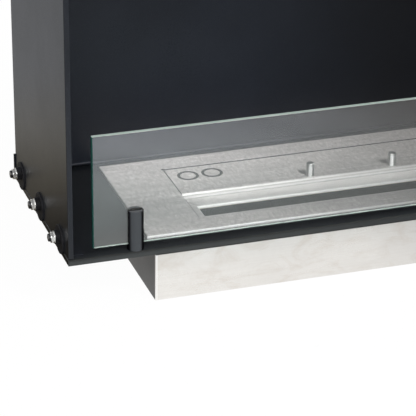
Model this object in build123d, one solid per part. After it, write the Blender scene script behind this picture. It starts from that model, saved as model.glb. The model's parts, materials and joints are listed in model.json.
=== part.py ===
from build123d import *

import os
from math import cos, pi

# Built-in bioethanol fireplace, in millimetres. A steel firebox, open at the front, stands on a
# folded base. A glass screen stands in two slotted posts, and the burner with its sliding lid
# hangs through the base into a housing below.
# +X is to the right seen from the room, +Y goes to the wall and +Z is up. The origin is the middle
# of the footprint, on the flat underside of the burner housing.

# Firebox
box_width = 850.0
box_depth = 270.0
box_height = 500.0  # from the base's underside to the top face
sheet = 1.5
edge_round = 1.2
front_return = 6.3  # the narrow face that shows at each side panel's front
rear_return = 22.0
top_return = 20.0
side_gap = 2.0  # between the base and the side panels
fit_gap = 0.3

# Base, folded down at all four sides
base_sheet = 2.0
base_lip = 7.5
cutout_half_width = 262.0
cutout_depths = (47.0, 240.0)  # distances behind the front face

# Back and top panels
foot_gap = 4.5  # under the back panel
back_hem = 3.5
top_lip = 20.0
wall_hole_radius = 4.5
wall_hole_half_spacing = 300.0
wall_hole_drops = (50.0, 210.0)  # below the top face

# Rail across the rear, slightly wider than the firebox
rail_thickness = 2.5
rail_overhang = 2.0
rail_height = 36.0  # from the base's underside

# Angles and bolts that hold the side panels
angle_thickness = 2.5
angle_leg = 40.0
angle_foot = 20.0
angle_end_gap = 8.0
bolt_depths = (38.0, 137.0, 236.0)
bolt_rise = 23.5  # above the base's underside
bolt_radius = 4.0
bolt_head_height = 5.3
bolt_end = 0.5  # the length outside the nut
bolt_clearance = 0.2
nut_flats = 13.0
nut_height = 3.8
nut_collar_radius = 5.0
nut_collar_height = 3.0
nut_collar_round = 0.8
nut_bore_gap = 0.05
corner_chamfer = 0.8
washer_radius = 8.0
washer_thickness = 0.8
pad_radius = 18.5
pad_thickness = 2.2
pad_round = 0.8
pad_drop = 4.0  # the pad's middle below the bolt
hub_radius = 8.5
hub_height = 5.6

# Rivets and screws
rivet_radius = 2.0
rivet_head_radius = 4.0
rivet_head_height = 1.4
rivet_tail = 3.0
angle_rivet_inset = 13.0
angle_rivet_depths = (86.0, 188.0)
screw_radius = 2.5
screw_head_radius = 4.5
screw_head_height = 2.5
screw_length = 8.0
screw_gap = 0.1
back_screw_rises = (70.0, 190.0, 310.0, 430.0)  # above the base's underside
panel_screw_inset = 12.0
top_screw_depths = (60.0, 210.0)

# Burner housing and the facia in front of it
housing_height = 63.5
housing_half_width = 315.0
housing_depth = 262.0
housing_flange = 14.0
housing_rivet_inset = 7.5
housing_rivet_depths = (52.0, 145.0, 238.0)
rear_rivet_spots = (-200.0, 0.0, 200.0)
rear_rivet_depth = 250.5
facia_sheet = 2.0
facia_gap = 0.5
facia_round = 1.2
stud_radius = 2.0
stud_length = 9.0
stud_spots = (-270.0, -90.0, 90.0, 270.0)
stud_rise = 31.0
stud_nut_flats = 7.0
stud_nut_height = 3.2

# Burner plate, with the recess that holds the lid
plate_rim = 3.5
plate_half_width = 316.5
plate_depths = (33.0, 256.5)
opening_half_width = 238.5
opening_depths = (68.0, 221.7)
relief_radius = 1.8  # at the opening's rear corners
recess_drop = 8.5
recess_margin = 7.5
slot_half_width = 223.0
slot_depths = (70.0, 115.5)
slot_collar = 4.0
slot_round = 3.0
tank_half_width = 240.0
tank_depths = (64.0, 224.0)
tank_floor = 12.0  # above the housing's underside
wool_height = 26.0
wool_gap = 2.0

# Sliding lid, shown pushed back, and its two pins
lid_depths = (139.5, 219.2)
lid_half_width = 237.6
lid_front_round = 3.0
pin_half_spacing = 58.0
pin_depth = 147.5
pin_radius = 5.2
pin_height = 18.0
pin_chamfer = 0.6
pin_shank_radius = 3.0
pin_shank = 6.5
pin_nut_flats = 10.0
pin_nut_height = 3.2

# Glass screen and its posts
glass_width = 784.0
glass_height = 147.0
glass_thickness = 6.0
glass_rise = 15.5  # above the base's underside
glass_arris = 0.6
post_inset = 87.5
post_depth = 11.0
post_radius = 10.5
post_height = 52.9
post_chamfer = 0.5
post_slot = 6.6
seat_thickness = 1.0
seat_width = 6.0
seat_length = 17.0
post_screw_radius = 2.5
post_screw_head_radius = 4.5
post_screw_head_height = 3.0
post_screw_reach = 6.0  # into the post

# Levels and faces that follow from these
nearly = 0.01  # how exactly an edge is looked for
half_width = box_width / 2
y_front = -(box_depth + rail_thickness) / 2
y_rear = y_front + box_depth
z_base = housing_height
z_deck = z_base + base_lip
z_under_deck = z_deck - base_sheet
z_top = z_base + box_height
z_plate = z_deck + plate_rim
z_under_plate = z_plate - sheet
z_ledge = z_plate - recess_drop
z_bolt = z_base + bolt_rise
z_glass = z_base + glass_rise
skin_inner = half_width - sheet
post_x = half_width - post_inset


def at_depth(distance):
    """The Y of a point that far behind the front face."""
    return y_front + distance


def between(depths):
    """The Y span between two distances behind the front face."""
    return (at_depth(depths[0]), at_depth(depths[1]))


def both(half):
    """A span that reaches equally far to both sides of the middle."""
    return (-half, half)


def block(x, y, z):
    """A box from its span on each axis."""
    spans = (x, y, z)
    size = [high - low for low, high in spans]
    centre = [(high + low) / 2 for low, high in spans]
    return Pos(*centre) * Box(*size)


def pan(x, y, z, thickness, open_top):
    """A folded tray with a floor and four walls, open at its top or at its bottom."""
    inside_x = (x[0] + thickness, x[1] - thickness)
    inside_y = (y[0] + thickness, y[1] - thickness)
    inside_z = (z[0] + thickness, z[1]) if open_top else (z[0], z[1] - thickness)
    return block(x, y, z) - block(inside_x, inside_y, inside_z)


def rod(radius, low, high):
    """A cylinder along Z between two heights."""
    return Pos(0, 0, (low + high) / 2) * Cylinder(radius, high - low)


def upright(x, y):
    """Places a Z-wise shape at one spot of the plan."""
    return Pos(x, y, 0)


def outward(side, y, z):
    """Turns a Z-wise shape to point out of one side (-1 is left, 1 is right)."""
    return Pos(0, y, z) * Rot(0, 90 * side, 0)


def rearward(x, z):
    """Turns a Z-wise shape to point along +Y."""
    return Pos(x, 0, z) * Rot(-90, 0, 0)


def hexagon(flats, low, high):
    """A hexagonal prism along Z with its corners turned down at both ends."""
    corner = flats / 2 / cos(pi / 6)
    prism = Pos(0, 0, low) * extrude(RegularPolygon(flats / 2, 6, major_radius=False), high - low)
    turned = rod(corner, low, high)
    turned = chamfer(turned.edges().filter_by(GeomType.CIRCLE), corner_chamfer)
    return prism & turned


def mirrored(shape):
    """The same piece for the other side."""
    return mirror(shape, about=Plane.YZ)


def edges_at(edges, axis, low, high=None):
    """The edges whose middle lies at one place along the axis, or between two."""
    high = low if high is None else high
    return edges.filter_by_position(axis, low - nearly, high + nearly)


def round_top(shape, z, radius):
    """Rounds every edge that lies in the level z."""
    return fillet(edges_at(shape.edges(), Axis.Z, z), radius)


def save(name, *shapes):
    """Writes one node, a single piece or a group of like pieces."""
    solids = [solid for shape in shapes for solid in shape.solids()]
    export_step(solids[0] if len(solids) == 1 else Compound(solids), f"parts/{name}.step")


def rivet(top, grip):
    """A blind rivet along Z with its head on top of the sheets that it holds."""
    head = rod(rivet_head_radius, top, top + rivet_head_height)
    head = chamfer(head.edges().group_by(Axis.Z)[-1], rivet_head_height / 2)
    return head + rod(rivet_radius, top - grip - rivet_tail, top)


def pan_screw(face):
    """A pan-head screw along Z with its head above the face."""
    head = rod(screw_head_radius, face, face + screw_head_height)
    head = fillet(head.edges().group_by(Axis.Z)[-1], screw_head_height / 2)
    return head + rod(screw_radius, face - screw_length, face)


def side_bolt_spots():
    return [(side, at_depth(depth)) for side in (-1, 1) for depth in bolt_depths]


def angle_rivet_spots():
    x = half_width - angle_rivet_inset
    return [(side * x, at_depth(depth)) for side in (-1, 1) for depth in angle_rivet_depths]


def housing_rivet_spots():
    x = housing_half_width - housing_rivet_inset
    sides = [(side * x, at_depth(depth)) for side in (-1, 1) for depth in housing_rivet_depths]
    return sides + [(x, at_depth(rear_rivet_depth)) for x in rear_rivet_spots]


def post_spots():
    return [(side * post_x, at_depth(post_depth)) for side in (-1, 1)]


def back_screw_spots():
    x = half_width - panel_screw_inset
    return [(side * x, z_base + rise) for side in (-1, 1) for rise in back_screw_rises]


def top_screw_spots():
    x = half_width - panel_screw_inset
    return [(side * x, at_depth(depth)) for side in (-1, 1) for depth in top_screw_depths]


def base_tray():
    tray = pan(both(half_width), (y_front, y_rear), (z_base, z_deck), base_sheet, open_top=False)
    tray = round_top(tray, z_deck, edge_round)
    tray -= block(both(cutout_half_width), between(cutout_depths), (z_base, z_deck))
    for x, y in angle_rivet_spots() + housing_rivet_spots():
        tray -= upright(x, y) * rod(rivet_radius + screw_gap, z_base, z_deck)
    for x, y in post_spots():
        tray -= upright(x, y) * rod(post_screw_radius + screw_gap, z_base, z_deck)
    return tray


def left_angle():
    y = (y_front + angle_end_gap, y_rear - angle_end_gap)
    leg = block((-skin_inner, -skin_inner + angle_thickness), y, (z_deck, z_deck + angle_leg))
    foot = block((-skin_inner, -skin_inner + angle_foot), y, (z_deck, z_deck + angle_thickness))
    angle = leg + foot
    for depth in bolt_depths:
        hole = rod(bolt_radius + bolt_clearance, 0, half_width)
        angle -= outward(-1, at_depth(depth), z_bolt) * hole
    for x, y in angle_rivet_spots():
        angle -= upright(x, y) * rod(rivet_radius + screw_gap, z_deck, z_deck + angle_thickness)
    return angle


def left_side_panel():
    z = (z_deck + side_gap, z_top - sheet)
    y = (y_front, y_rear)
    panel = block((-half_width, -skin_inner), y, z)
    panel += block((-half_width, front_return - half_width), (y_front, y_front + sheet), z)
    panel += block((-half_width, rear_return - half_width), (y_rear - sheet, y_rear), z)
    top_y = (y_front + 2 * sheet, y_rear)
    panel += block((-half_width, top_return - half_width), top_y, (z[1] - sheet, z[1]))
    corners = edges_at(panel.edges().filter_by(Axis.Z), Axis.X, -half_width)
    panel = fillet(corners, edge_round)
    for depth in bolt_depths:
        hole = rod(bolt_radius + bolt_clearance, 0, half_width)
        panel -= outward(-1, at_depth(depth), z_bolt) * hole
    for x, z_screw in back_screw_spots():
        panel -= rearward(x, z_screw) * rod(screw_radius + screw_gap, y_rear - sheet, y_rear)
    for x, y_screw in top_screw_spots():
        panel -= upright(x, y_screw) * rod(screw_radius + screw_gap, z[1] - sheet, z[1])
    return panel


def back_panel():
    half = skin_inner - fit_gap
    rear = y_rear - sheet
    z = (z_deck + foot_gap, z_top - 2 * sheet - fit_gap)
    panel = block(both(half), (rear - sheet, rear), z)
    hem_y = (rear - sheet - back_hem, rear - sheet)
    panel += block(both(half - rear_return), hem_y, (z[0], z[0] + sheet))
    for x, z_screw in back_screw_spots():
        panel -= rearward(x, z_screw) * rod(screw_radius + screw_gap, rear - sheet, rear)
    for drop in wall_hole_drops:
        for x in both(wall_hole_half_spacing):
            panel -= rearward(x, z_top - drop) * rod(wall_hole_radius, rear - sheet, rear)
    return panel


def top_panel():
    y = (y_front, y_rear)
    panel = block(both(half_width), y, (z_top - sheet, z_top))
    panel = round_top(panel, z_top, edge_round)
    lip_z = (z_top - sheet - top_lip, z_top - sheet)
    panel += block(both(half_width - front_return - fit_gap), (y_front, y_front + sheet), lip_z)
    panel += block(both(half_width - rear_return - fit_gap), (y_rear - sheet, y_rear), lip_z)
    for x, y_screw in top_screw_spots():
        panel -= upright(x, y_screw) * rod(screw_radius + screw_gap, z_top - sheet, z_top)
    return panel


def rear_rail():
    y = (y_rear, y_rear + rail_thickness)
    return block(both(half_width + rail_overhang), y, (z_base, z_base + rail_height))


def burner_housing():
    x = both(housing_half_width)
    y = (y_front + facia_sheet, at_depth(housing_depth))
    housing = block(x, y, (0, z_under_deck))
    inner_x = both(housing_half_width - sheet)
    inner_y = (y[0] + sheet, y[1] - sheet)
    housing -= block(inner_x, inner_y, (sheet, z_under_deck - sheet))
    mouth_x = both(housing_half_width - housing_flange)
    mouth_y = (y[0] + housing_flange, y[1] - housing_flange)
    housing -= block(mouth_x, mouth_y, (z_under_deck - sheet, z_under_deck))
    for x_rivet, y_rivet in housing_rivet_spots():
        hole = rod(rivet_radius + screw_gap, z_under_deck - sheet, z_under_deck)
        housing -= upright(x_rivet, y_rivet) * hole
    for x_stud in stud_spots:
        housing -= rearward(x_stud, stud_rise) * rod(stud_radius + screw_gap, y[0], y[0] + sheet)
    return housing


def front_facia():
    y = (y_front, y_front + facia_sheet)
    facia = block(both(housing_half_width), y, (0, z_base - facia_gap))
    return fillet(edges_at(facia.edges(), Axis.Y, y_front), facia_round)


def facia_studs():
    weld = y_front + facia_sheet
    return [rearward(x, stud_rise) * rod(stud_radius, weld, weld + stud_length) for x in stud_spots]


def facia_nuts():
    seat = y_front + facia_sheet + sheet
    nut = hexagon(stud_nut_flats, seat, seat + stud_nut_height)
    nut -= rod(stud_radius + nut_bore_gap, seat, seat + stud_nut_height)
    return [rearward(x, stud_rise) * nut for x in stud_spots]


def burner_plate():
    x, y = both(plate_half_width), between(plate_depths)
    plate = pan(x, y, (z_deck, z_plate), sheet, open_top=False)
    plate = round_top(plate, z_plate, edge_round)
    plate -= block(both(opening_half_width), between(opening_depths), (z_deck, z_plate))
    for x_corner in both(opening_half_width):
        relief = rod(relief_radius, z_deck, z_plate)
        plate -= upright(x_corner, at_depth(opening_depths[1])) * relief
    return plate


def recess_tray():
    x = both(opening_half_width + recess_margin)
    y = (at_depth(opening_depths[0]) - recess_margin, at_depth(opening_depths[1]) + recess_margin)
    tray = pan(x, y, (z_ledge - sheet, z_under_plate), sheet, open_top=True)
    collar_x = both(slot_half_width + sheet)
    slot_y = between(slot_depths)
    collar_y = (slot_y[0] - sheet, slot_y[1] + sheet)
    tray += block(collar_x, collar_y, (z_ledge - slot_collar, z_ledge))
    tray -= block(both(slot_half_width), slot_y, (z_ledge - slot_collar, z_ledge))
    mouth = edges_at(tray.edges(), Axis.Z, z_ledge)
    mouth = edges_at(mouth, Axis.X, *both(slot_half_width))
    mouth = edges_at(mouth, Axis.Y, *slot_y)
    return fillet(mouth, slot_round)


def fuel_tank():
    z = (tank_floor, z_ledge - sheet)
    return pan(both(tank_half_width), between(tank_depths), z, sheet, open_top=True)


def wool_block():
    margin = sheet + wool_gap
    y = (at_depth(tank_depths[0]) + margin, at_depth(tank_depths[1]) - margin)
    floor = tank_floor + sheet
    return block(both(tank_half_width - margin), y, (floor, floor + wool_height))


def sliding_lid():
    z = (z_ledge + fit_gap, z_plate)
    y = between(lid_depths)
    lid = pan(both(lid_half_width), y, z, sheet, open_top=False)
    front = edges_at(edges_at(lid.edges(), Axis.Z, z_plate), Axis.Y, y[0])
    lid = fillet(front, lid_front_round)
    for side in (-1, 1):
        hole = rod(pin_shank_radius + screw_gap, z_under_plate, z_plate)
        lid -= upright(side * pin_half_spacing, at_depth(pin_depth)) * hole
    return lid


def lid_pins():
    pin = rod(pin_radius, z_plate, z_plate + pin_height)
    pin = chamfer(pin.edges().group_by(Axis.Z)[-1], pin_chamfer)
    pin += rod(pin_shank_radius, z_plate - pin_shank, z_plate)
    return [upright(side * pin_half_spacing, at_depth(pin_depth)) * pin for side in (-1, 1)]


def lid_pin_nuts():
    z = (z_under_plate - pin_nut_height, z_under_plate)
    nut = hexagon(pin_nut_flats, *z) - rod(pin_shank_radius + nut_bore_gap, *z)
    return [upright(side * pin_half_spacing, at_depth(pin_depth)) * nut for side in (-1, 1)]


def glass_pane():
    y = at_depth(post_depth)
    span = (y - glass_thickness / 2, y + glass_thickness / 2)
    pane = block(both(glass_width / 2), span, (z_glass, z_glass + glass_height))
    return chamfer(pane.edges(), glass_arris)


def left_post():
    x, y = post_spots()[0]
    slot_floor = z_glass - seat_thickness
    post = rod(post_radius, z_deck, z_deck + post_height)
    post = chamfer(post.edges().group_by(Axis.Z)[-1], post_chamfer)
    post -= block(both(post_radius), both(post_slot / 2), (slot_floor, z_deck + post_height))
    post -= rod(post_screw_radius + nut_bore_gap, z_deck, z_deck + post_screw_reach)
    return upright(x, y) * post


def glass_seats():
    z = (z_glass - seat_thickness, z_glass)
    seat = block(both(seat_length / 2), both(seat_width / 2), z)
    return [upright(x, y) * seat for x, y in post_spots()]


def post_screws():
    head = rod(post_screw_head_radius, z_under_deck - post_screw_head_height, z_under_deck)
    shank = rod(post_screw_radius, z_under_deck, z_deck + post_screw_reach)
    return [upright(x, y) * (head + shank) for x, y in post_spots()]


def side_pads():
    face = half_width + pad_thickness
    disc = rod(pad_radius, half_width, face)
    disc = fillet(disc.edges().group_by(Axis.Z)[-1], pad_round)
    hub = rod(hub_radius, face, face + hub_height)
    hole = rod(bolt_radius + bolt_clearance, half_width, face + hub_height)
    pads = []
    for side, y in side_bolt_spots():
        pad = outward(side, y, z_bolt - pad_drop) * disc
        pads.append(pad + outward(side, y, z_bolt) * hub - outward(side, y, z_bolt) * hole)
    return pads


def side_washers():
    seat = half_width + pad_thickness + hub_height
    washer = rod(washer_radius, seat, seat + washer_thickness)
    washer -= rod(bolt_radius + bolt_clearance, seat, seat + washer_thickness)
    return [outward(side, y, z_bolt) * washer for side, y in side_bolt_spots()]


def side_nuts():
    seat = half_width + pad_thickness + hub_height + washer_thickness
    end = seat + nut_height + nut_collar_height
    collar = rod(nut_collar_radius, seat, end)
    collar = fillet(collar.edges().group_by(Axis.Z)[-1], nut_collar_round)
    nut = hexagon(nut_flats, seat, seat + nut_height) + collar
    nut -= rod(bolt_radius + nut_bore_gap, seat, end)
    return [outward(side, y, z_bolt) * nut for side, y in side_bolt_spots()]


def side_bolts():
    seat = skin_inner - angle_thickness
    outside = pad_thickness + hub_height + washer_thickness + nut_height + nut_collar_height
    tip = half_width + outside + bolt_end
    shank = rod(bolt_radius, seat, tip)
    shank = chamfer(shank.edges().group_by(Axis.Z)[-1], corner_chamfer)
    bolt = shank + hexagon(nut_flats, seat - bolt_head_height, seat)
    return [outward(side, y, z_bolt) * bolt for side, y in side_bolt_spots()]


def angle_rivets():
    piece = rivet(z_deck + angle_thickness, angle_thickness + base_sheet)
    return [upright(x, y) * piece for x, y in angle_rivet_spots()]


def housing_rivets():
    piece = rivet(z_deck, base_sheet + sheet)
    return [upright(x, y) * piece for x, y in housing_rivet_spots()]


def back_screws():
    return [rearward(x, z) * pan_screw(y_rear) for x, z in back_screw_spots()]


def top_screws():
    return [upright(x, y) * pan_screw(z_top) for x, y in top_screw_spots()]


os.makedirs("parts", exist_ok=True)

save("base_tray", base_tray())
save("left_angle", left_angle())
save("right_angle", mirrored(left_angle()))
save("left_side_panel", left_side_panel())
save("right_side_panel", mirrored(left_side_panel()))
save("back_panel", back_panel())
save("top_panel", top_panel())
save("rear_rail", rear_rail())
save("burner_housing", burner_housing())
save("front_facia", front_facia())
save("facia_studs", *facia_studs())
save("facia_nuts", *facia_nuts())
save("burner_plate", burner_plate())
save("recess_tray", recess_tray())
save("fuel_tank", fuel_tank())
save("wool_block", wool_block())
save("sliding_lid", sliding_lid())
save("lid_pins", *lid_pins())
save("lid_pin_nuts", *lid_pin_nuts())
save("glass_pane", glass_pane())
save("left_post", left_post())
save("right_post", mirrored(left_post()))
save("glass_seats", *glass_seats())
save("post_screws", *post_screws())
save("side_pads", *side_pads())
save("side_washers", *side_washers())
save("side_nuts", *side_nuts())
save("side_bolts", *side_bolts())
save("angle_rivets", *angle_rivets())
save("housing_rivets", *housing_rivets())
save("back_screws", *back_screws())
save("top_screws", *top_screws())
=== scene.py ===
import json
import math
import random
from functools import cached_property

import bmesh
import bpy
from mathutils import Matrix, Vector


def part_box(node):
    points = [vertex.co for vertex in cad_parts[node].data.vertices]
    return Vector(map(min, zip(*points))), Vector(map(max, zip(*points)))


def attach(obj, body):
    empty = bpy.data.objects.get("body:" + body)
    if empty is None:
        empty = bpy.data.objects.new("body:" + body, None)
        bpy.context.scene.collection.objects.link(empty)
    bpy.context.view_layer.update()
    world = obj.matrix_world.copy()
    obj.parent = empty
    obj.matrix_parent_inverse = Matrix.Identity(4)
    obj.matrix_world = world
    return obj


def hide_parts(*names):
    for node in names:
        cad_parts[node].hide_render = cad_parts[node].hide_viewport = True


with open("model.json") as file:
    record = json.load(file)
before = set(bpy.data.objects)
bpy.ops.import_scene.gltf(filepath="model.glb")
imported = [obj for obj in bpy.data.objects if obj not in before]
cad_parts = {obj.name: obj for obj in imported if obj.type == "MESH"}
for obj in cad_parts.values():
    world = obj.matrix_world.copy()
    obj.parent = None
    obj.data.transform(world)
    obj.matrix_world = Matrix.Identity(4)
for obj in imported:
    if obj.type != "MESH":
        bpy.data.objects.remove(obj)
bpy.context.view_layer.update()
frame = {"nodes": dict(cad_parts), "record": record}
nodes = frame["nodes"]
scene = bpy.context.scene
random.seed(7)

MM = 0.001
UP = Vector((0, 0, 1))
BACK = Vector((0, 1, 0))

# Places on the part, in metres. Reaches and distances are from the middle plane.
OPENING_REACH, OPENING_FRONT, OPENING_REAR = 238.5 * MM, -68.3 * MM, 85.45 * MM
POST_SLOT = (-125.25 * MM, 3.4 * MM)  # the middle and half width in Y of the cut for the pane
LEDGE_TOP = 66.0 * MM
# The reach within which the ledge gets painted light, and the one past which it gets painted shade.
LEDGE_LIT_REACH, LEDGE_SHADE_REACH = 221.5 * MM, 231.8 * MM
SHADE_LINE_HEIGHT = 71.2 * MM  # height of a line of painted shade on front-facing faces
NUT_COLLAR = 437.45 * MM  # where the side nuts' collars begin; past it they are painted in shade
RING_SPOTS = ((-212.1 * MM, 57.45 * MM), (-178.8 * MM, 57.45 * MM))  # X and Y on the lid

# Tones of painted shade: a grey one for gaps, seams, ledge ends and dull tops, a near-black one
# deep in gaps.
PAINTED_SHADE = (0.05, 0.05, 0.05)
PAINTED_DEEP_SHADE = (0.018, 0.018, 0.018)


# ---------------------------------------------------------------- materials
class Nodes:
    """A node tree. Its methods return sockets that feed one another."""

    def __init__(self, tree):
        self.tree = tree
        self.tree.nodes.clear()

    def add(self, kind, inputs=None, **settings):
        node = self.tree.nodes.new("ShaderNode" + kind)
        for key, value in settings.items():
            setattr(node, key, value)
        for key, value in (inputs or {}).items():
            self.put(node.inputs[key], value)
        return node

    def put(self, socket, value):
        if isinstance(value, bpy.types.NodeSocket):
            self.tree.links.new(value, socket)
        elif socket.type == "RGBA":
            socket.default_value = (*value[:3], 1)
        else:
            socket.default_value = value

    def split(self, vector):
        """The X, Y and Z of a vector."""
        return self.add("SeparateXYZ", {"Vector": vector}).outputs

    def span(self, value, low, high, to_low=0.0, to_high=1.0):
        """Carries low..high over to to_low..to_high and holds it between them."""
        values = {"Value": value, "From Min": low, "From Max": high}
        values.update({"To Min": to_low, "To Max": to_high})
        return self.add("MapRange", values).outputs["Result"]

    def maths(self, operation, a, b=0.0):
        return self.add("Math", {0: a, 1: b}, operation=operation).outputs[0]

    def times(self, first, *others):
        for other in others:
            first = self.maths("MULTIPLY", first, other)
        return first

    def most(self, a, b):
        return self.maths("MAXIMUM", a, b)

    def apart(self, a, b):
        return self.maths("ABSOLUTE", self.maths("SUBTRACT", a, b))

    def blend(self, share, a, b, blend_type="MIX"):
        inputs = {0: share, 6: a, 7: b}
        return self.add("Mix", inputs, data_type="RGBA", blend_type=blend_type).outputs[2]

    def glow(self, colour):
        return self.add("Emission", {"Color": colour, "Strength": 1.0}).outputs["Emission"]

    def matt(self, colour):
        return self.add("BsdfDiffuse", {"Color": colour}).outputs["BSDF"]

    def mixed(self, share, first, second):
        return self.add("MixShader", {"Fac": share, 1: first, 2: second}).outputs["Shader"]


class Shade(Nodes):
    """A material, laid out in the object's own coordinates."""

    def __init__(self, name):
        self.material = bpy.data.materials.new(name)
        self.material.use_nodes = True
        super().__init__(self.material.node_tree)
        self.place = self.add("TexCoord").outputs["Object"]

    @cached_property
    def at(self):
        """The X, Y and Z of the place."""
        return self.split(self.place)

    @cached_property
    def aside(self):
        """The distance from the middle plane."""
        return self.maths("ABSOLUTE", self.at["X"])

    @cached_property
    def normal(self):
        return self.add("NewGeometry").outputs["Normal"]

    @cached_property
    def facing(self):
        """The X, Y and Z of the normal."""
        return self.split(self.normal)

    def stretched(self, stretch):
        return self.add("Mapping", {"Vector": self.place, "Scale": stretch}).outputs["Vector"]

    def noise(self, scale, stretch=(1, 1, 1), detail=3.0, roughness=0.5, distortion=0.0):
        values = {"Vector": self.stretched(stretch), "Scale": scale, "Detail": detail}
        values.update({"Roughness": roughness, "Distortion": distortion})
        return self.add("TexNoise", values).outputs["Fac"]

    def spots(self, scale):
        return self.add("TexVoronoi", {"Vector": self.place, "Scale": scale}).outputs["Distance"]

    def rings(self, scale, axis):
        values = {"Vector": self.place, "Scale": scale, "Distortion": 0.4, "Detail": 1.0}
        node = self.add("TexWave", values, wave_type="BANDS", bands_direction=axis)
        return node.outputs["Fac"]

    def edges(self, radius, low, high):
        """1 along the outer edges of the shape, within about the radius, and 0 elsewhere."""
        rounded = self.add("Bevel", {"Radius": radius}, samples=6).outputs["Normal"]
        dot = self.add("VectorMath", {0: rounded, 1: self.normal}, operation="DOT_PRODUCT")
        return self.span(self.maths("SUBTRACT", 1.0, dot.outputs["Value"]), low, high)

    def gap_shade(self, reach, low, high, outside):
        """1 on upright faces at or past a rectangle's left, right and rear sides, or inside it,
        where
            painted shade goes in a gap.
        """
        upright = self.span(self.maths("ABSOLUTE", self.facing["Z"]), 0.2, 0.5, 1, 0)
        slack, relief = 0.3 * MM, 2.2 * MM
        if outside:
            beside = self.span(self.aside, reach - slack, reach - slack / 2)
            behind = self.span(self.at["Y"], high - slack, high - slack / 2)
            return self.times(upright, self.most(beside, behind))
        within = self.span(self.aside, reach + relief, reach + relief + slack, 1, 0)
        front = self.span(self.at["Y"], low - slack, low - slack / 2)
        rear = self.span(self.at["Y"], high + relief, high + relief + slack, 1, 0)
        return self.times(front, rear, within, upright)

    def edge_shade(self, reach, high, outside):
        """1 in a narrow rim along a rectangle's left, right and rear sides, or in a dot at each
            of its rear corners, where painted shade goes along a gap."""
        if outside:
            start, full = 0.9 * MM, 0.5 * MM
            beside = self.span(self.aside, reach - start, reach - full)
            return self.most(beside, self.span(self.at["Y"], high - start, high - full))
        beside = self.maths("POWER", self.maths("SUBTRACT", self.aside, reach), 2.0)
        behind = self.maths("POWER", self.maths("SUBTRACT", self.at["Y"], high), 2.0)
        away = self.maths("POWER", self.maths("ADD", beside, behind), 0.5)
        return self.span(away, 2.4 * MM, 3.2 * MM, 1, 0)

    def bump(self, height, distance, strength, under=None):
        values = {"Height": height, "Distance": distance, "Strength": strength}
        if under is not None:
            values["Normal"] = under
        return self.add("Bump", values).outputs["Normal"]

    def surface(self, values):
        return self.add("BsdfPrincipled", values).outputs["BSDF"]

    def finish(self, shader):
        self.add("OutputMaterial", {"Surface": shader})
        return self.material


def slot_painted_shade(s, colour, middle, half):
    """Darkens with painted shade the walls of a post's cut, the rim beside it on top, and the
    post's two sides.
    """
    near = s.apart(s.at["Y"], middle)
    inside = s.span(near, half, half + 0.2 * MM, 1, 0)
    walls = s.times(inside, s.span(s.maths("ABSOLUTE", s.facing["Y"]), 0.6, 0.8))
    colour = s.blend(walls, colour, (0.002, 0.002, 0.002))
    beside = s.span(near, half + 1.3 * MM, half + 1.6 * MM, 1, 0)
    rim = s.times(beside, s.span(s.facing["Z"], 0.6, 0.8))
    colour = s.blend(rim, colour, (0.003, 0.003, 0.003))
    right = s.span(s.facing["X"], 0.38, 0.62)
    left = s.span(s.facing["X"], -0.86, -0.66, 1, 0)
    return s.blend(s.most(right, left), colour, (0.002, 0.002, 0.003))


def lip_dust_and_light(s, colour, front):
    """Lays a pale dusty tone on the base's front, below a point of its top front edge, and thinly
    on top behind the edge. Its growth to the left and low down is painted light, and the dark top
    edge is painted shade. Gives the colour, and where that edge is dark."""
    close = s.span(s.at["Y"], front.y + 1.6 * MM, front.y + 2.2 * MM, 1, 0)
    # Painted light: the tone grows to the left and low down.
    leftward = s.span(s.at["X"], -0.20, 0.06, 0.76, 0.30)
    lower = s.span(s.at["Z"], front.z - 4.0 * MM, front.z - 0.8 * MM, 1, 0.35)
    dust_and_light = s.times(close, leftward, lower)
    faded = s.span(s.at["Y"], front.y, front.y + 14.0 * MM, 0.36, 0)
    colour = s.blend(s.most(dust_and_light, faded), colour, (0.040, 0.045, 0.046))
    # Painted shade on the top edge, in place of its highlight.
    shaded_brink = s.times(close, s.span(s.at["Z"], front.z - 1.9 * MM, front.z - 1.1 * MM))
    return s.blend(shaded_brink, colour, (0.016, 0.018, 0.018)), shaded_brink


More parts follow.
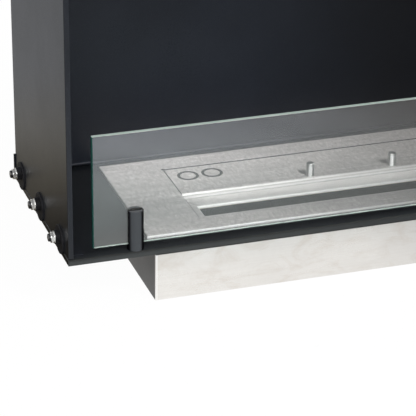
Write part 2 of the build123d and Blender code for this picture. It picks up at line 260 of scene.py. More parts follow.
def powder_coat(
    name, dark, light, wear, rough, level, texture=1.0,
    lighter_top_tone=None, right_shade_span=None, slot=None, front=None
):
    """A matt coat with a fine orange peel, slight clouding and rubbed edges. Faces that look up may
    be made lighter, which on the post is painted light. The shade span is the X span over which
    the coat turns dark towards the right, as painted shade. A slot is the middle and half width of
    the post's cut for its painted shade, and front the point of the lip's dust, painted light and
    painted shade."""
    s = Shade(name)
    cloud = s.noise(7, detail=4, roughness=0.6)
    grain = s.noise(950, detail=2)
    peel = s.noise(420, detail=3, roughness=0.6)
    colour = s.blend(s.span(cloud, 0.35, 0.65), dark, light)
    colour = s.blend(s.span(grain, 0.55, 0.75, 0, 0.35), colour, wear)
    rub = s.times(s.edges(1.6 * MM, 0.02, 0.25), s.span(s.noise(60), 0.35, 0.6, 0.2, 1), 0.55)
    colour = s.blend(rub, colour, wear)
    dust = s.span(s.noise(2.2, detail=5, roughness=0.7), 0.3, 0.7, -0.05, 0.05)
    roughness = s.maths("ADD", s.span(grain, 0.3, 0.7, rough - 0.04, rough + 0.05), dust)
    # Faces that look up are made lighter; on the post this is painted light on its tops.
    if lighter_top_tone is not None:
        colour = s.blend(s.span(s.facing["Z"], 0.6, 0.9, 0, 0.9), colour, lighter_top_tone)
    # Painted shade: the coat darkens towards the right.
    if right_shade_span is not None:
        colour = s.blend(s.span(s.at["X"], *right_shade_span, 0, 0.7), colour, (0.0015, 0.0016, 0.0018))
    if slot is not None:
        colour = slot_painted_shade(s, colour, *slot)
    if front is not None:
        colour, shaded_brink = lip_dust_and_light(s, colour, front)
        roughness = s.most(roughness, s.times(shaded_brink, 0.85))
    normal = s.bump(peel, 0.03 * MM, 0.5 * texture)
    normal = s.bump(grain, 0.012 * MM, 0.5 * texture, normal)
    values = {"Base Color": colour, "Roughness": roughness, "Normal": normal}
    values["Specular IOR Level"] = level
    return s.finish(s.surface(values))


def front_faces_lit(s, colour, front_lit_tone, dark):
    """Gives the faces that look to the front a lighter tone of their own as painted light, with a
    darker line of painted shade along them.
    """
    line = s.span(s.apart(s.at["Z"], SHADE_LINE_HEIGHT), 0.5 * MM, 1.3 * MM, 0.5, 0)
    return s.blend(s.span(s.facing["Y"], -0.85, -0.3, 1, 0), colour, s.blend(line, front_lit_tone, dark))


def end_highlight_and_shade(s, colour, ends):
    """Paints a highlight on the edges past a distance from the middle plane, paints light falling
    off by making the sheet a little lighter to the left and darker to the right, and paints shade
    on the faces that look up. Gives the colour, and where that shade lies."""
    colour = s.blend(s.span(s.aside, ends - 0.6 * MM, ends), colour, (1.0, 1.0, 0.995))
    colour = s.blend(1.0, colour, s.span(s.at["X"], -0.30, 0.06, 1.07, 0.955), "MULTIPLY")
    painted_shade_mask = s.span(s.facing["Z"], 0.25, 0.6)
    return s.blend(painted_shade_mask, colour, PAINTED_SHADE), painted_shade_mask


def ledge_light_and_shade(s, colour, lit_reach, edge_shade):
    """Brightens the ledge with painted light within one distance from the middle plane, most of it
    to the right, and paints shade past another. The slot's rim gets a painted highlight, and its
    wall a warmer, darker painted shade."""
    # Painted light, growing towards the right.
    share = s.span(s.aside, lit_reach - 14.0 * MM, lit_reach + 9.0 * MM, 1, 0)
    share = s.times(share, s.span(s.at["X"], -0.22, 0.0, 0.52, 0.92))
    colour = s.blend(share, colour, (1.0, 0.972, 0.955))
    # Painted highlight on the slot's rim.
    rim = s.span(s.at["Z"], LEDGE_TOP - 0.5 * MM, LEDGE_TOP - 0.1 * MM, 1, 0)
    colour = s.blend(rim, colour, (1.0, 0.985, 0.965))
    # Painted shade on the slot's wall, warmer in tone.
    wall_shade = s.span(s.at["Z"], LEDGE_TOP - 3.6 * MM, LEDGE_TOP - 2.6 * MM, 1, 0)
    colour = s.blend(wall_shade, colour, (0.74, 0.685, 0.655), "MULTIPLY")
    return s.blend(s.span(s.aside, edge_shade, edge_shade + 0.4 * MM, 0, 0.6), colour, PAINTED_SHADE)


def strip_shade(s, colour, middle):
    """Darkens a narrow strip around a Y with painted shade, more of it towards the right."""
    strip = s.span(s.at["Y"], middle - 3.0 * MM, middle + 3.0 * MM, 1, 0)
    share = s.times(strip, s.span(s.at["X"], -0.18, 0.08, 0, 0.62))
    return s.blend(share, colour, (0.14, 0.135, 0.13))


def brushed(
    name, dark, light, rough, stain=None, stain_share=0.0, grain=1.0, metal=1.0, spread=0.0,
    mottled=1.0, front_lit_tone=None, ends=None, shade_foot=None, ledge_reaches=None, shade_strip_y=None, gap=None
):
    """Stainless sheet, brushed along X, with faint clouds and a few longer scratches. Where it
    has a spread, its light spreads across the brush lines. A stain is the tone of faint smudges.
    The tone for faces that look to the front, the ends' distance, the ledge's two reaches and a
    strip's Y feed the helpers above, which paint light and shade. Below the foot height lies a
    seam of painted shade. A gap is the X reach and Y span of a rectangle, and whether the upright
    faces outside it, or else those inside it, get painted shade."""
    s = Shade(name)
    fine = s.noise(1, (14, 1400, 1400), detail=3, roughness=0.7)
    broad = s.noise(1, (9, 230, 230), detail=5, roughness=0.65, distortion=0.25)
    cloud = s.noise(16, (1, 1.6, 1.6), detail=5, roughness=0.62, distortion=0.4)
    scratch = s.noise(1, (9, 520, 520), detail=2, roughness=0.8, distortion=0.15)
    mottle = s.noise(1, (240, 95, 95), detail=5, roughness=0.75, distortion=0.3)
    streak = s.maths("ADD", s.times(fine, 0.55), s.times(broad, 0.45))
    colour = s.blend(s.span(streak, 0.36, 0.64), dark, light)
    colour = s.blend(s.span(mottle, 0.39, 0.61, 0, 0.95 * mottled), colour, dark)
    colour = s.blend(s.span(cloud, 0.42, 0.7, 0, 0.4), colour, dark)
    colour = s.blend(s.span(scratch, 0.66, 0.74, 0, 0.35), colour, light)
    roughness = s.span(streak, 0.3, 0.7, rough - 0.06, rough + 0.06)
    if stain is not None:
        smudge = s.noise(16, (1, 2.2, 2.2), detail=6, roughness=0.65, distortion=1.1)
        colour = s.blend(s.span(smudge, 0.48, 0.72, 0, stain_share), colour, stain)
    if front_lit_tone is not None:
        colour = front_faces_lit(s, colour, front_lit_tone, dark)
    if ends is not None:
        colour, painted_shade_mask = end_highlight_and_shade(s, colour, ends)
        roughness = s.most(roughness, s.times(painted_shade_mask, 0.8))
    roughness = s.maths("ADD", roughness, s.span(cloud, 0.3, 0.7, -0.03, 0.05))
    # A seam of painted shade below the foot height.
    if shade_foot is not None:
        colour = s.blend(s.span(s.at["Z"], shade_foot - 0.3 * MM, shade_foot, 0.35, 0), colour, PAINTED_SHADE)
    if ledge_reaches is not None:
        colour = ledge_light_and_shade(s, colour, *ledge_reaches)
    if shade_strip_y is not None:
        colour = strip_shade(s, colour, shade_strip_y)
    if gap is not None:
        # Painted shade in the gap: a grey rim and darker upright faces.
        reach, low, high, outside = gap
        colour = s.blend(s.times(s.edge_shade(reach, high, outside), 0.6), colour, PAINTED_SHADE)
        gap_shade_mask = s.gap_shade(reach, low, high, outside)
        colour = s.blend(gap_shade_mask, colour, PAINTED_DEEP_SHADE)
        roughness = s.most(roughness, s.times(gap_shade_mask, 0.9))
    normal = s.bump(fine, 0.02 * MM, 0.6 * grain)
    normal = s.bump(broad, 0.03 * MM, 0.5 * grain, normal)
    values = {"Base Color": colour, "Roughness": roughness, "Normal": normal}
    values.update({"Metallic": metal, "Specular IOR Level": 0.5})
    if spread:
        tangent = s.add("Tangent", direction_type="RADIAL", axis="X").outputs["Tangent"]
        values.update({"Anisotropic": spread, "Tangent": tangent})
    return s.finish(s.surface(values))


def plated(name, dark, light, rough, rings_axis=None, shaded_past=None, spread=0.0):
    """Plated or turned steel, with fine tool rings where an axis is given. Past a distance from the
    middle plane it is painted dark grey as shade. With a spread, its light spreads along the
    axis."""
    s = Shade(name)
    cloud = s.noise(140, detail=4, roughness=0.6)
    speck = s.noise(1600, detail=2)
    colour = s.blend(s.span(cloud, 0.35, 0.65), dark, light)
    roughness = s.span(cloud, 0.3, 0.7, rough - 0.05, rough + 0.08)
    normal = s.bump(speck, 0.006 * MM, 0.4)
    if rings_axis:
        normal = s.bump(s.rings(900, rings_axis), 0.012 * MM, 0.35, normal)
    if shaded_past is not None:
        painted_shade_mask = s.span(s.aside, shaded_past, shaded_past + 0.3 * MM)
        colour = s.blend(painted_shade_mask, colour, (0.055, 0.055, 0.058))
        roughness = s.most(roughness, s.times(painted_shade_mask, 0.42))
    values = {"Base Color": colour, "Roughness": roughness, "Normal": normal, "Metallic": 1.0}
    if spread:
        tangent = s.add("Tangent", direction_type="RADIAL", axis=rings_axis).outputs["Tangent"]
        turn = s.add("VectorMath", {0: tangent, 1: s.normal}, operation="CROSS_PRODUCT")
        values.update({"Anisotropic": spread, "Tangent": turn.outputs["Vector"]})
    return s.finish(s.surface(values))


def moulded(name, dark, light, rough):
    """Moulded rubber or plastic with a dull bloom and a fine pitted skin."""
    s = Shade(name)
    bloom = s.noise(90, detail=5, roughness=0.65)
    pits = s.spots(1500)
    colour = s.blend(s.span(bloom, 0.35, 0.7), dark, light)
    roughness = s.span(bloom, 0.3, 0.7, rough - 0.08, rough + 0.06)
    normal = s.bump(s.span(pits, 0.05, 0.4), 0.03 * MM, 0.4)
    values = {"Base Color": colour, "Roughness": roughness, "Normal": normal}
    values["Specular IOR Level"] = 0.12
    return s.finish(s.surface(values))


def fibre_felt(name):
    """Ceramic fibre felt, painted dark as the shade inside the tank: matted threads with deep
    shadows between them.
    """
    s = Shade(name)
    mat = s.noise(160, detail=8, roughness=0.75, distortion=1.6)
    thread = s.noise(700, (1, 0.35, 1), detail=4, roughness=0.7, distortion=2.5)
    colour = s.blend(s.span(mat, 0.3, 0.7), (0.016, 0.015, 0.014), (0.040, 0.039, 0.037))
    colour = s.blend(s.span(thread, 0.5, 0.7, 0, 0.4), colour, (0.075, 0.073, 0.07))
    normal = s.bump(thread, 0.4 * MM, 0.7)
    values = {"Base Color": colour, "Roughness": s.span(mat, 0.3, 0.7, 0.85, 1.0), "Normal": normal}
    return s.finish(s.surface(values))


def see_through(name, tint, haze, index):
    """Clear glass. Lamps' rays pass through it, so that they light what is behind it."""
    s = Shade(name)
    values = {"Base Color": tint, "Roughness": 0.0, "IOR": index}
    values["Transmission Weight"] = 1.0 - haze
    clear = s.add("BsdfTransparent", {"Color": (0.575, 0.59, 0.59)}).outputs["BSDF"]
    lamp = s.add("LightPath").outputs["Is Shadow Ray"]
    return s.finish(s.mixed(lamp, s.surface(values), clear))


def ground_edge(name, dark, light, clear, level):
    """The polished edge of float glass."""
    s = Shade(name)
    chips = s.noise(260, (0.2, 1, 1), detail=4, roughness=0.7)
    colour = s.blend(s.span(chips, 0.35, 0.65), dark, light)
    values = {"Base Color": colour, "Roughness": s.span(chips, 0.3, 0.7, 0.08, 0.22), "IOR": 1.52}
    values.update({"Transmission Weight": clear, "Specular IOR Level": level})
    return s.finish(s.surface(values))


tray_low, tray_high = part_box("base_tray")
lid_low, lid_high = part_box("sliding_lid")
facia_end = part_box("front_facia")[1].x

casing_black = powder_coat(
    "casing_black", (0.0070, 0.0085, 0.0120), (0.0105, 0.0125, 0.0170), (0.040, 0.044, 0.054),
    rough=0.34, level=0.30
)
# The back panel: darker towards the right as painted shade, and lighter on faces that look up.
back_coat_shaded_right = powder_coat(
    "back_coat_shaded_right", (0.0070, 0.0092, 0.0145), (0.0108, 0.0136, 0.0205), (0.040, 0.044, 0.056),
    rough=0.34, level=0.30, lighter_top_tone=(0.10, 0.105, 0.125), right_shade_span=(-0.10, 0.10)
)
# The base's front lip carries a dusty tone, painted light and a top edge of painted shade.
base_coat = powder_coat(
    "base_coat", (0.0070, 0.0085, 0.0110), (0.0105, 0.0125, 0.0155), (0.040, 0.044, 0.050),
    rough=0.34, level=0.30, front=Vector((0, tray_low.y, tray_high.z))
)
housing_coat = powder_coat(
    "housing_coat", (0.0070, 0.0080, 0.0100), (0.0100, 0.0112, 0.0136), (0.036, 0.038, 0.042),
    rough=0.36, level=0.24
)
# The post's lighter tops, and its darker sides and cut, are painted light and painted shade.
post_black = powder_coat(
    "post_black", (0.042, 0.047, 0.053), (0.056, 0.062, 0.069), (0.08, 0.084, 0.09),
    rough=0.5, level=0.04, texture=0.35, lighter_top_tone=(0.08, 0.084, 0.09), slot=POST_SLOT
)
steel = dict(rough=0.45, metal=0.85, spread=0.93)
plain = dict(dark=(0.42, 0.400, 0.394), light=(0.81, 0.772, 0.764), **steel)
stainless = brushed("brushed_stainless", **plain)
# Painted light on the faces that look to the front, painted shade in a strip and in the opening.
plate_steel = brushed(
    "plate_stainless", **plain, front_lit_tone=(0.97, 0.96, 0.96), shade_strip_y=OPENING_FRONT,
    gap=(OPENING_REACH, OPENING_FRONT, OPENING_REAR, False)
)
# Painted light on the faces that look to the front, painted shade along its foot and in the gap.
lid_steel = brushed(
    "lid_stainless", (0.46, 0.438, 0.431), (0.87, 0.829, 0.820), **steel,
    front_lit_tone=(0.84, 0.825, 0.82), shade_foot=lid_low.z + 1.5 * MM,
    gap=(lid_high.x, lid_low.y, lid_high.y, True)
)
# Painted light on the front faces and the ledge, painted shade at the ledge's ends and slot wall.
tray_steel = brushed(
    "tray_stainless", **plain, front_lit_tone=(1.0, 0.98, 0.97), ledge_reaches=(LEDGE_LIT_REACH, LEDGE_SHADE_REACH)
)
# Painted highlight on the ends, painted light falling off to the right, painted shade on the top.
facia_steel = brushed(
    "facia_stainless", (0.80, 0.79, 0.775), (0.88, 0.875, 0.86), rough=0.30,
    stain=(0.64, 0.58, 0.52), stain_share=0.5, grain=0.5, mottled=0.4, ends=facia_end - 2.2 * MM
)
tank_steel = brushed("tank_stainless", (0.36, 0.336, 0.312), (0.50, 0.467, 0.436), rough=0.40)
pin_steel = plated("pin_steel", (0.97, 0.97, 0.96), (1.0, 1.0, 0.99), 0.49, "Z", spread=0.9)
zinc = plated("zinc", (0.74, 0.75, 0.75), (0.90, 0.90, 0.89), 0.28)
# The nuts' collars are painted dark as shade.
nut_zinc = plated(
    "nut_zinc", (0.80, 0.80, 0.79), (0.93, 0.93, 0.92), 0.30, shaded_past=NUT_COLLAR
)
dark_bolt = plated("dark_bolt", (0.22, 0.22, 0.215), (0.34, 0.335, 0.33), 0.38, "X")
rivet_black = powder_coat(
    "rivet_black", (0.010, 0.011, 0.013), (0.016, 0.017, 0.019), (0.07, 0.07, 0.075),
    rough=0.38, level=0.4, texture=0.4
)
pad_rubber = moulded("pad_rubber", (0.006, 0.006, 0.007), (0.017, 0.0175, 0.021), 0.6)
seat_rubber = moulded("seat_rubber", (0.012, 0.012, 0.012), (0.026, 0.026, 0.026), 0.7)
lock_plastic = moulded("lock_plastic", (0.016, 0.016, 0.018), (0.034, 0.034, 0.036), 0.45)
ceramic_wool = fibre_felt("ceramic_wool")
pane_clear = see_through("pane_clear", (0.965, 0.98, 0.98), haze=0.024, index=1.67)
# Painted light and shade on the pane's edges: pale on the top and bottom, dark on the upright ends.
pane_edge_lit = ground_edge("pane_edge_lit", (0.50, 0.63, 0.57), (0.66, 0.78, 0.73), 0.25, 0.5)
pane_end_shaded = ground_edge("pane_end_shaded", (0.008, 0.042, 0.036), (0.014, 0.066, 0.058), 0.0, 0.12)

finishes = {
    "casing_black": casing_black,
    "post_black": post_black,
    "brushed_stainless": stainless,
    "facia_stainless": facia_steel,
    "tank_stainless": tank_steel,
    "pin_steel": pin_steel,
    "zinc": zinc,
    "dark_bolt": dark_bolt,
    "rivet_black": rivet_black,
    "pad_rubber": pad_rubber,
    "seat_rubber": seat_rubber,
    "ceramic_wool": ceramic_wool,
    "screen_glass": pane_clear,
}
particular = {
    "burner_plate": plate_steel,
    "sliding_lid": lid_steel,
    "recess_tray": tray_steel,
    "side_nuts": nut_zinc,
    "back_panel": back_coat_shaded_right,
    "burner_housing": housing_coat,
    "base_tray": base_coat,
}
for part in frame["record"]["subparts"]:
    dressed = nodes[part["node"]]
    if not dressed.material_slots:
        dressed.data.materials.append(None)
    for place in dressed.material_slots:
        place.link = "OBJECT"
        place.material = particular.get(part["node"], finishes[part["material_slot"]])


# ---------------------------------------------------------------- mesh helpers
def new_piece(name, mesh, body, materials, smooth_angle=None):
    """Puts a bmesh into the scene as one piece that rides on a body. Edges that turn by less than
    the smooth angle, in degrees, are shaded smooth."""
    bmesh.ops.recalc_face_normals(mesh, faces=mesh.faces)
    data = bpy.data.meshes.new(name)
    mesh.to_mesh(data)
    mesh.free()
    for material in materials:
        data.materials.append(material)
    piece = bpy.data.objects.new(name, data)
    scene.collection.objects.link(piece)
    if smooth_angle is not None:
        for polygon in data.polygons:
            polygon.use_smooth = True
        data.set_sharp_from_angle(angle=math.radians(smooth_angle))
    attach(piece, body)
    return piece


def circles(mesh, profile, place, sides):
    """Adds a circle of vertices around local Z for each (radius, height) of a profile. A radius
    may be a function of the angle."""
    found = []
    for radius, height in profile:
        circle = []
        for step in range(sides):
            angle = math.tau * step / sides
            reach = radius(angle) if callable(radius) else radius
            point = Vector((reach * math.cos(angle), reach * math.sin(angle), height))
            circle.append(mesh.verts.new(place @ point))
        found.append(circle)
    return found


def bridge(mesh, lower, upper):
    """Adds the faces between two circles."""
    for step in range(len(lower)):
        after = (step + 1) % len(lower)
        mesh.faces.new((lower[step], lower[after], upper[after], upper[step]))


def turned(mesh, profile, place, sides=48):
    """Adds a closed solid of revolution along local Z. A centre point closes it at the first and
    at the last entry of its profile."""
    rings = circles(mesh, profile, place, sides)
    for lower, upper in zip(rings, rings[1:]):
        bridge(mesh, lower, upper)
    for ring, height in ((rings[0], profile[0][1]), (rings[-1], profile[-1][1])):
        centre = mesh.verts.new(place @ Vector((0, 0, height)))
        for step in range(sides):
            mesh.faces.new((ring[step], ring[(step + 1) % sides], centre))


def hoop(mesh, section, place, sides):
    """Adds a closed ring around local Z, where the section's last entry meets its first."""
    loops = circles(mesh, section, place, sides)
    for number, loop in enumerate(loops):
        bridge(mesh, loop, loops[(number + 1) % len(loops)])


def hexagonal(flats):
    """The reach of a hexagon across flats, as a function of the angle."""

    def reach(angle):
        turn = (angle + math.pi / 6) % (math.pi / 3) - math.pi / 6
        return flats / 2 / math.cos(turn)

    return reach


def along(direction, spot):
    """A matrix that turns local Z to the direction and moves the origin to the spot."""
    turn = Vector(direction).to_track_quat("Z", "Y").to_matrix().to_4x4()
    return Matrix.Translation(spot) @ turn


def solid_boxes(node, count):
    """The low and high corners of a node's separate solids, read from its mesh islands."""
    mesh = bmesh.new()
    mesh.from_mesh(nodes[node].data)
    bmesh.ops.remove_doubles(mesh, verts=mesh.verts, dist=1e-6)
    left, found = set(mesh.verts), []
    while left:
        island, reach = [], [left.pop()]
        while reach:
            vertex = reach.pop()
            island.append(vertex.co.copy())
            for edge in vertex.link_edges:
                other = edge.other_vert(vertex)
                if other in left:
                    left.remove(other)
                    reach.append(other)
        found.append((Vector(map(min, zip(*island))), Vector(map(max, zip(*island)))))
    mesh.free()
    if len(found) != count:
        raise RuntimeError(f"{node} has {len(found)} solids and not {count}")
    return sorted(found, key=lambda pair: tuple(round(v, 4) for v in pair[0]))


# ---------------------------------------------------------------- glass screen
def rise(edge):
    return abs((edge.verts[0].co - edge.verts[1].co).z)


def glass_screen():
    """The pane, with polished edge faces and fine arrises between them and the large faces. The
    arrises are wider on the upright edges."""
    low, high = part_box("glass_pane")
    mesh = bmesh.new()
    bmesh.ops.create_cube(mesh, size=1.0)
    for vertex in mesh.verts:
        vertex.co = Vector(low[i] + (high[i] - low[i]) * (vertex.co[i] + 0.5) for i in range(3))
    for upright, width in ((True, 1.4 * MM), (False, 0.6 * MM)):
        picked = [edge for edge in mesh.edges if (rise(edge) > MM) == upright]
        bmesh.ops.bevel(mesh, geom=picked, offset=width, segments=2, affect="EDGES", profile=0.5)
    for face in mesh.faces:
        # The top and bottom edges take the painted light, the upright ends the painted shade.
        at_end, is_large = abs(face.normal.x) > 0.3, abs(face.normal.y) > 0.9
        face.material_index = 2 if at_end else 0 if is_large else 1
    materials = (pane_clear, pane_edge_lit, pane_end_shaded)
    pane = new_piece("glass_screen", mesh, "glass", materials)
    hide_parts("glass_pane")


glass_screen()


# ---------------------------------------------------------------- fasteners
def threaded_bolts():
    """The six M8 side bolts, with hexagon heads inside the casing and a thread at the free end."""
    mesh = bmesh.new()
    shank, core, pitch, turns = 4.0 * MM, 3.35 * MM, 1.25 * MM, 12
    chamfer, flats, head = hexagonal(12.0 * MM), hexagonal(13.0 * MM), 5.3 * MM
    for low, high in solid_boxes("side_bolts", 6):
        outward = 1 if high.x > 0 else -1
        seat = low.x if outward > 0 else high.x
        length = high.x - low.x
        spot = Vector((seat, (low.y + high.y) / 2, (low.z + high.z) / 2))
        profile = [(chamfer, 0), (flats, 0.5 * MM), (flats, head), (shank, head)]
        at = length - turns * pitch - 0.7 * MM
        while at < length - 1.0 * MM:
            profile += [(core, at), (shank, at + pitch * 0.45), (shank, at + pitch * 0.6)]
            at += pitch
        profile += [(core, length - 0.4 * MM), (core * 0.9, length)]
        turned(mesh, profile, along((outward, 0, 0), spot))
    piece = new_piece("threaded_bolts", mesh, "casing", (dark_bolt,), 35)
    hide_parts("side_bolts")


def locking_rings():
    """The dark plastic rings in the collars of the six side nuts."""
    mesh = bmesh.new()
    bore, reach, proud = 3.95 * MM, 4.6 * MM, 0.12 * MM
    for low, high in solid_boxes("side_nuts", 6):
        outward = 1 if high.x > 0 else -1
        end = high.x if outward > 0 else low.x
        place = along((outward, 0, 0), Vector((end, (low.y + high.y) / 2, (low.z + high.z) / 2)))
        profile = [(reach, -0.4 * MM), (reach, 0.06 * MM), (reach - 0.1 * MM, proud)]
        profile += [(bore + 0.1 * MM, proud), (bore, 0.06 * MM), (bore, -0.4 * MM)]
        hoop(mesh, profile, place, 36)
    new_piece("locking_rings", mesh, "casing", (lock_plastic,), 35)


def domed_rivets(node, count, name):
    """Blind rivets with a domed head, a mandrel dimple and a spread tail."""
    mesh = bmesh.new()
    for low, high in solid_boxes(node, count):
        spot = Vector(((low.x + high.x) / 2, (low.y + high.y) / 2, low.z))
        height = high.z - low.z
        brim = height - 1.4 * MM  # the head is 1.4 mm high and 8 mm across
        profile = [(1.1 * MM, 0), (1.9 * MM, 0.5 * MM), (2.0 * MM, 1.2 * MM), (2.0 * MM, brim)]
        profile += [(4.0 * MM, brim), (4.0 * MM, brim + 0.35 * MM), (3.6 * MM, brim + 0.75 * MM)]
        profile += [(2.9 * MM, brim + 1.1 * MM), (2.1 * MM, brim + 1.32 * MM), (1.4 * MM, height)]
        profile += [(1.2 * MM, height - 0.1 * MM), (1.1 * MM, height - 0.7 * MM)]
        turned(mesh, profile, along(UP, spot), 32)
    piece = new_piece(name, mesh, "casing", (rivet_black,), 40)
    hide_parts(node)


def panel_screws(node, count, name, direction):
    """Pan-head screws with a thread and a hexagon socket. Their heads face the direction."""
    mesh = bmesh.new()
    mouth, socket = hexagonal(3.5 * MM), hexagonal(3.0 * MM)
    for low, high in solid_boxes(node, count):
        length = (high - low).dot(direction)
        spot = (low + high) / 2 - direction * length / 2
        brim = length - 2.5 * MM  # the head is 2.5 mm high and 9 mm across
        profile = [(1.4 * MM, 0), (1.9 * MM, 0.6 * MM)]
        at = 0.6 * MM
        while at < brim - 1.0 * MM:
            profile += [(1.95 * MM, at), (2.5 * MM, at + 0.35 * MM), (2.5 * MM, at + 0.45 * MM)]
            at += 0.8 * MM
        profile += [(2.4 * MM, brim), (4.5 * MM, brim), (4.5 * MM, brim + 1.1 * MM)]
        profile += [(4.3 * MM, brim + 1.6 * MM), (3.9 * MM, brim + 2.0 * MM)]
        profile += [(3.3 * MM, brim + 2.3 * MM), (2.4 * MM, length), (mouth, length)]
        profile += [(socket, length - 0.25 * MM), (socket, length - 1.6 * MM)]
        turned(mesh, profile, along(direction, spot), 48)
    piece = new_piece(name, mesh, "casing", (rivet_black,), 40)
    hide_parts(node)


threaded_bolts()
locking_rings()
domed_rivets("angle_rivets", 4, "angle_blind_rivets")
domed_rivets("housing_rivets", 9, "housing_blind_rivets")
panel_screws("back_screws", 8, "back_socket_screws", BACK)
panel_screws("top_screws", 4, "top_socket_screws", UP)


# ---------------------------------------------------------------- burner details
def wool_pad():
    """The felt in the tank, with an uneven fibrous top."""
    low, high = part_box("wool_block")
    mesh = bmesh.new()
    columns, rows = 150, 50
    grid = []
    for row in range(rows + 1):
        line = []
        for column in range(columns + 1):
            x = low.x + (high.x - low.x) * column / columns
            y = low.y + (high.y - low.y) * row / rows
            swell = 0.5 + 0.5 * math.sin(23 * x + 1.3) * math.cos(61 * y)
            rough = random.random()
            inset = min(column, columns - column, row, rows - row)
            drop = (1.2 + 1.6 * swell + 1.1 * rough) * MM + (3.0 * MM if inset == 0 else 0)
            line.append(mesh.verts.new((x, y, high.z - drop)))
        grid.append(line)
    for row in range(rows):
        for column in range(columns):
            corners = (grid[row][column], grid[row][column + 1])
            mesh.faces.new((*corners, grid[row + 1][column + 1], grid[row + 1][column]))
    rim = [*grid[0], *(line[-1] for line in grid[1:]), *reversed(grid[-1][:-1])]
    rim += [line[0] for line in reversed(grid[1:-1])]
    feet = [mesh.verts.new((vertex.co.x, vertex.co.y, low.z)) for vertex in rim]
    for step, vertex in enumerate(rim):
        after = (step + 1) % len(rim)
        mesh.faces.new((vertex, feet[step], feet[after], rim[after]))
    mesh.faces.new(feet)
    pad = new_piece("wool_pad", mesh, "burner", (ceramic_wool,), 180)
    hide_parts("wool_block")


def etched_rings():
    """Two plain etched rings on the lid."""
    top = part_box("sliding_lid")[1].z
    etch = Shade("etched_ring")
    mark = etch.noise(900, detail=3)
    colour = etch.blend(etch.span(mark, 0.35, 0.65), (0.050, 0.048, 0.046), (0.100, 0.097, 0.093))
    values = {"Base Color": colour, "Roughness": etch.span(mark, 0.3, 0.7, 0.5, 0.7)}
    material = etch.finish(etch.surface({**values, "Specular IOR Level": 0.2}))
    mesh = bmesh.new()
    outer, inner, proud = 14.4 * MM, 10.3 * MM, 0.04 * MM
    section = ((outer, -proud), (outer, proud), (inner, proud), (inner, -proud))
    for x, y in RING_SPOTS:
        hoop(mesh, section, Matrix.Translation((x, y, top)), 72)
    new_piece("etched_rings", mesh, "lid", (material,), 30)


wool_pad()
etched_rings()


# ---------------------------------------------------------------- floor, light and camera
def floor():
    """A pale floor. The camera sees it white, with the object's soft shadow near it, and light
    bounces off it as off pale stone. In reflections it has the tones that make metal and glass
    look as they do in the photo: warm white, dark brown beside the object's rear left, grey to
    the right and far in front, and a cooler zone before the base. That zone is half lit and half
    its own light, which keeps the noise of its reflections low."""
    s = Shade("floor_white")
    spot = s.add("NewGeometry").outputs["Position"]
    axes = s.split(spot)
    x, y = axes["X"], axes["Y"]
    path = s.add("LightPath").outputs
    far = s.add("VectorMath", {0: spot}, operation="LENGTH").outputs["Value"]
    shadowed = s.times(s.span(far, 0.5, 1.0, 1.0, 0.0), 0.025)
    seen = s.mixed(shadowed, s.glow((1, 1, 1)), s.matt((0.95, 0.95, 0.95)))

    shaded = s.blend(s.span(y, 0.25, 0.65), (0.54, 0.49, 0.385), (0.55, 0.56, 0.58))
    left = s.times(s.span(x, -0.44, -0.36, 1, 0), s.span(y, 0.0, 0.12))
    tone = s.blend(left, (0.97, 0.955, 0.93), shaded)
    beside = s.times(
        s.span(x, -0.44, -0.30, 1, 0), s.span(y, 0.08, 0.42, 1, 0), s.span(y, -0.25, -0.05)
    )
    tone = s.blend(beside, tone, (0.030, 0.018, 0.0))
    tone = s.blend(s.span(y, -1.3, -0.65, 1, 0), tone, (0.15, 0.155, 0.17))
    tone = s.blend(s.span(x, 0.0, 0.45), tone, (0.42, 0.43, 0.45))

    before = s.times(
        s.span(y, -0.34, -0.24, 1, 0), s.span(y, -1.0, -0.7), s.span(x, -0.44, -0.38)
    )
    paled = s.blend(s.span(y, -0.60, -0.45), (0.84, 0.89, 0.99), (0.82, 0.94, 0.95))
    paled = s.blend(s.span(x, -0.15, 0.30), paled, (0.150, 0.126, 0.108))
    paled = s.blend(s.span(y, -0.42, -0.30, 0, 0.35), paled, (0.115, 0.100, 0.088))
    cloudy = {"Vector": spot, "Scale": 12.0, "Detail": 1.0, "Roughness": 0.5}
    uneven = s.add("TexNoise", cloudy).outputs["Fac"]
    paled = s.blend(s.span(uneven, 0.35, 0.65, 0.16, 0), paled, (0.02, 0.03, 0.03))
    cool = s.mixed(0.5, s.matt(paled), s.glow(paled))

    mirrored = s.mixed(before, s.glow(tone), cool)
    rest = s.mixed(path["Is Glossy Ray"], s.matt((0.82, 0.80, 0.77)), mirrored)
    material = s.finish(s.mixed(path["Is Camera Ray"], rest, seen))
    mesh = bmesh.new()
    bmesh.ops.create_grid(mesh, x_segments=2, y_segments=2, size=9.0)
    data = bpy.data.meshes.new("floor")
    mesh.to_mesh(data)
    mesh.free()
    data.materials.append(material)
    sheet = bpy.data.objects.new("floor", data)
    sheet.location.z = -0.4 * MM  # just below the part's underside, which lies at 0
    scene.collection.objects.link(sheet)


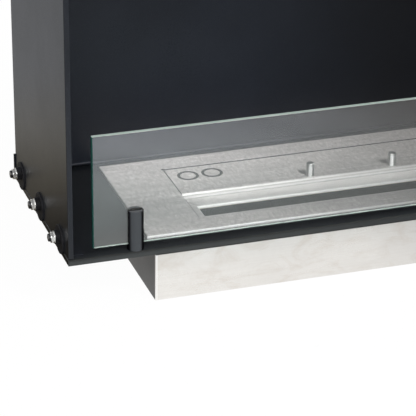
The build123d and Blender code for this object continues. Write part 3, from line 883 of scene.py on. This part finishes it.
def softbox(name, spot, target, size, power, colour):
    """A rectangular lamp that neither the camera nor the glass shows."""
    lamp = bpy.data.lights.new(name, "AREA")
    lamp.shape = "RECTANGLE"
    lamp.size, lamp.size_y = size
    lamp.energy = power
    lamp.color = colour
    holder = bpy.data.objects.new(name, lamp)
    holder.location = spot
    aim = Vector(target) - Vector(spot)
    holder.rotation_euler = aim.to_track_quat("-Z", "Y").to_euler()
    scene.collection.objects.link(holder)
    holder.visible_camera = False
    holder.visible_transmission = False


def sky():
    """White to the camera, and in metal and glass white to the left and dark to the right. The
    light that it gives is soft and even."""
    world = bpy.data.worlds.new("studio")
    scene.world = world
    world.use_nodes = True
    w = Nodes(world.node_tree)
    path = w.add("LightPath").outputs
    mirrored = w.most(path["Is Transmission Ray"], path["Is Glossy Ray"])
    seen = w.most(path["Is Camera Ray"], mirrored)
    soft = w.add("Background", {"Color": (0.97, 0.985, 1.0), "Strength": 0.38})
    towards = w.split(w.add("TexCoord").outputs["Generated"])
    fall = w.span(towards["X"], 0.0, 0.45, 1.0, 0.05)
    shown = w.most(fall, path["Is Camera Ray"])
    white = w.add("Background", {"Color": shown, "Strength": 1.0})
    both = w.mixed(seen, soft.outputs[0], white.outputs[0])
    w.add("OutputWorld", {"Surface": both})


def camera():
    """The photo's camera, fitted to the object's edges in it."""
    lens = bpy.data.cameras.new("camera")
    lens.sensor_fit = "HORIZONTAL"
    lens.sensor_width = 36.0
    lens.lens = 182.37
    lens.clip_start, lens.clip_end = 0.05, 60
    holder = bpy.data.objects.new("camera", lens)
    holder.location = (-0.990048, -2.353754, 1.208103)
    holder.rotation_euler = [math.radians(angle) for angle in (64.9949, -0.5258, -18.2618)]
    scene.collection.objects.link(holder)
    scene.camera = holder


floor()
sky()
softbox("key", (-0.85, -1.25, 0.95), (-0.2, 0, 0.08), (0.9, 0.6), 15, (1.0, 0.99, 0.975))
softbox("front", (0.42, -1.50, 1.70), (-0.1, 0, 0.08), (0.45, 0.7), 28, (1.0, 0.985, 0.965))
camera()

scene.view_settings.view_transform = "Standard"
